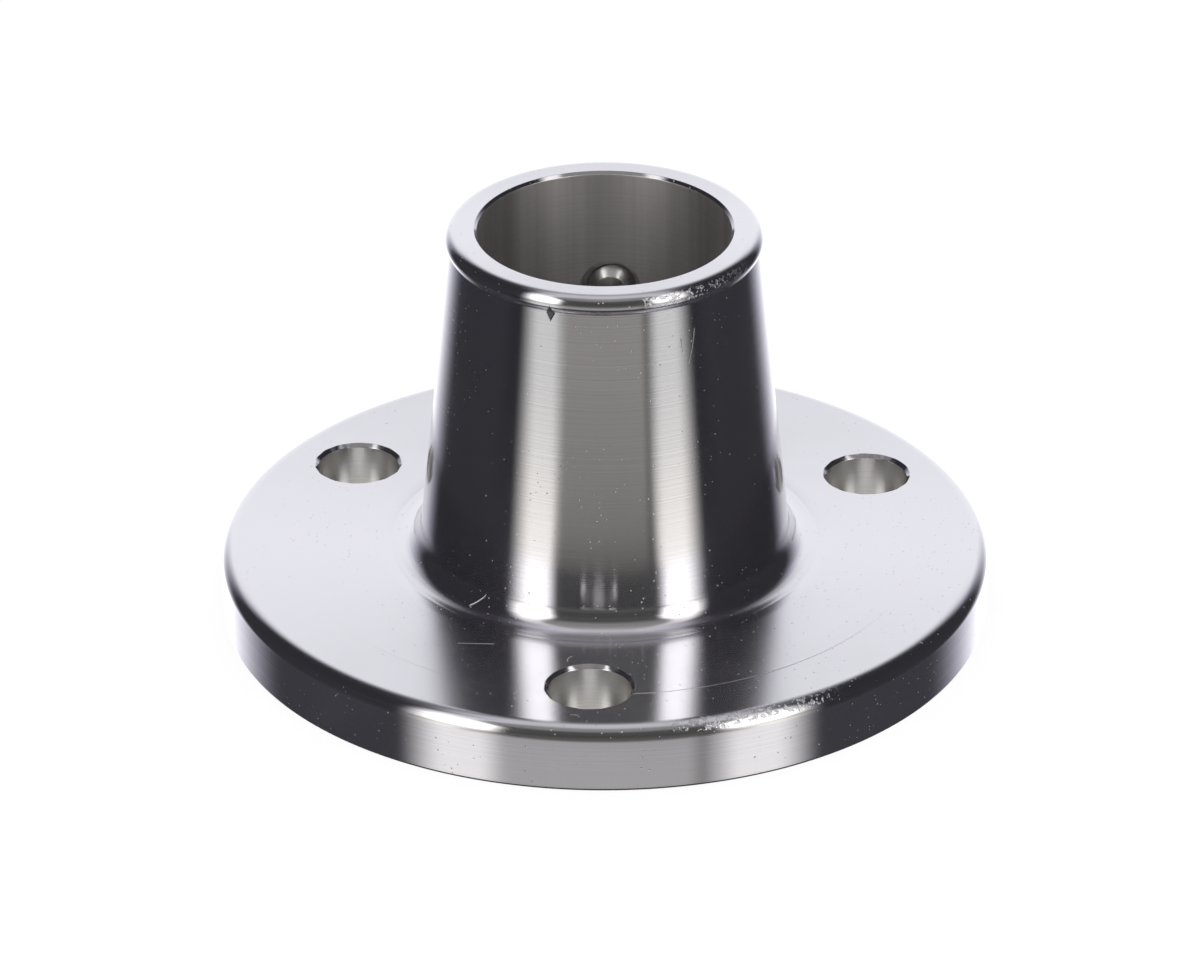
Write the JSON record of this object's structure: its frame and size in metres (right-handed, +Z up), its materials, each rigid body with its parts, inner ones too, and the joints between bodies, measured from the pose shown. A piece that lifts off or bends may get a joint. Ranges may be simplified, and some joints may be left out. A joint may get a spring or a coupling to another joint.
{
  "type": "stanchion base",
  "caption": "Round deck flange with a tapered upright socket that holds a rail stanchion tube, locked by a set screw.",
  "frame": {"origin": "on the socket's axis at the underside of the flange, the centre of the face that lies on the deck", "axes": "+Z up the socket's axis, away from the deck; -Y towards one bolt hole; +Y towards the set screw"},
  "size_m": [0.078, 0.078, 0.0424],
  "materials": {
    "bright_turned_steel": "turned and polished bright, with fine circular tool lines and light handling scratches",
    "set_screw_steel": "plain machined steel, a little duller than the base"
  },
  "bodies": {
    "base": {"base_body": "bright_turned_steel"},
    "screw": {"set_screw": "set_screw_steel"}
  },
  "joints": [
    {"name": "set_screw_advance", "type": "slide", "parent": "base", "child": "screw", "axis": [0, -1, 0], "range_m": [-0.00254, 0.00254]}
  ]
}
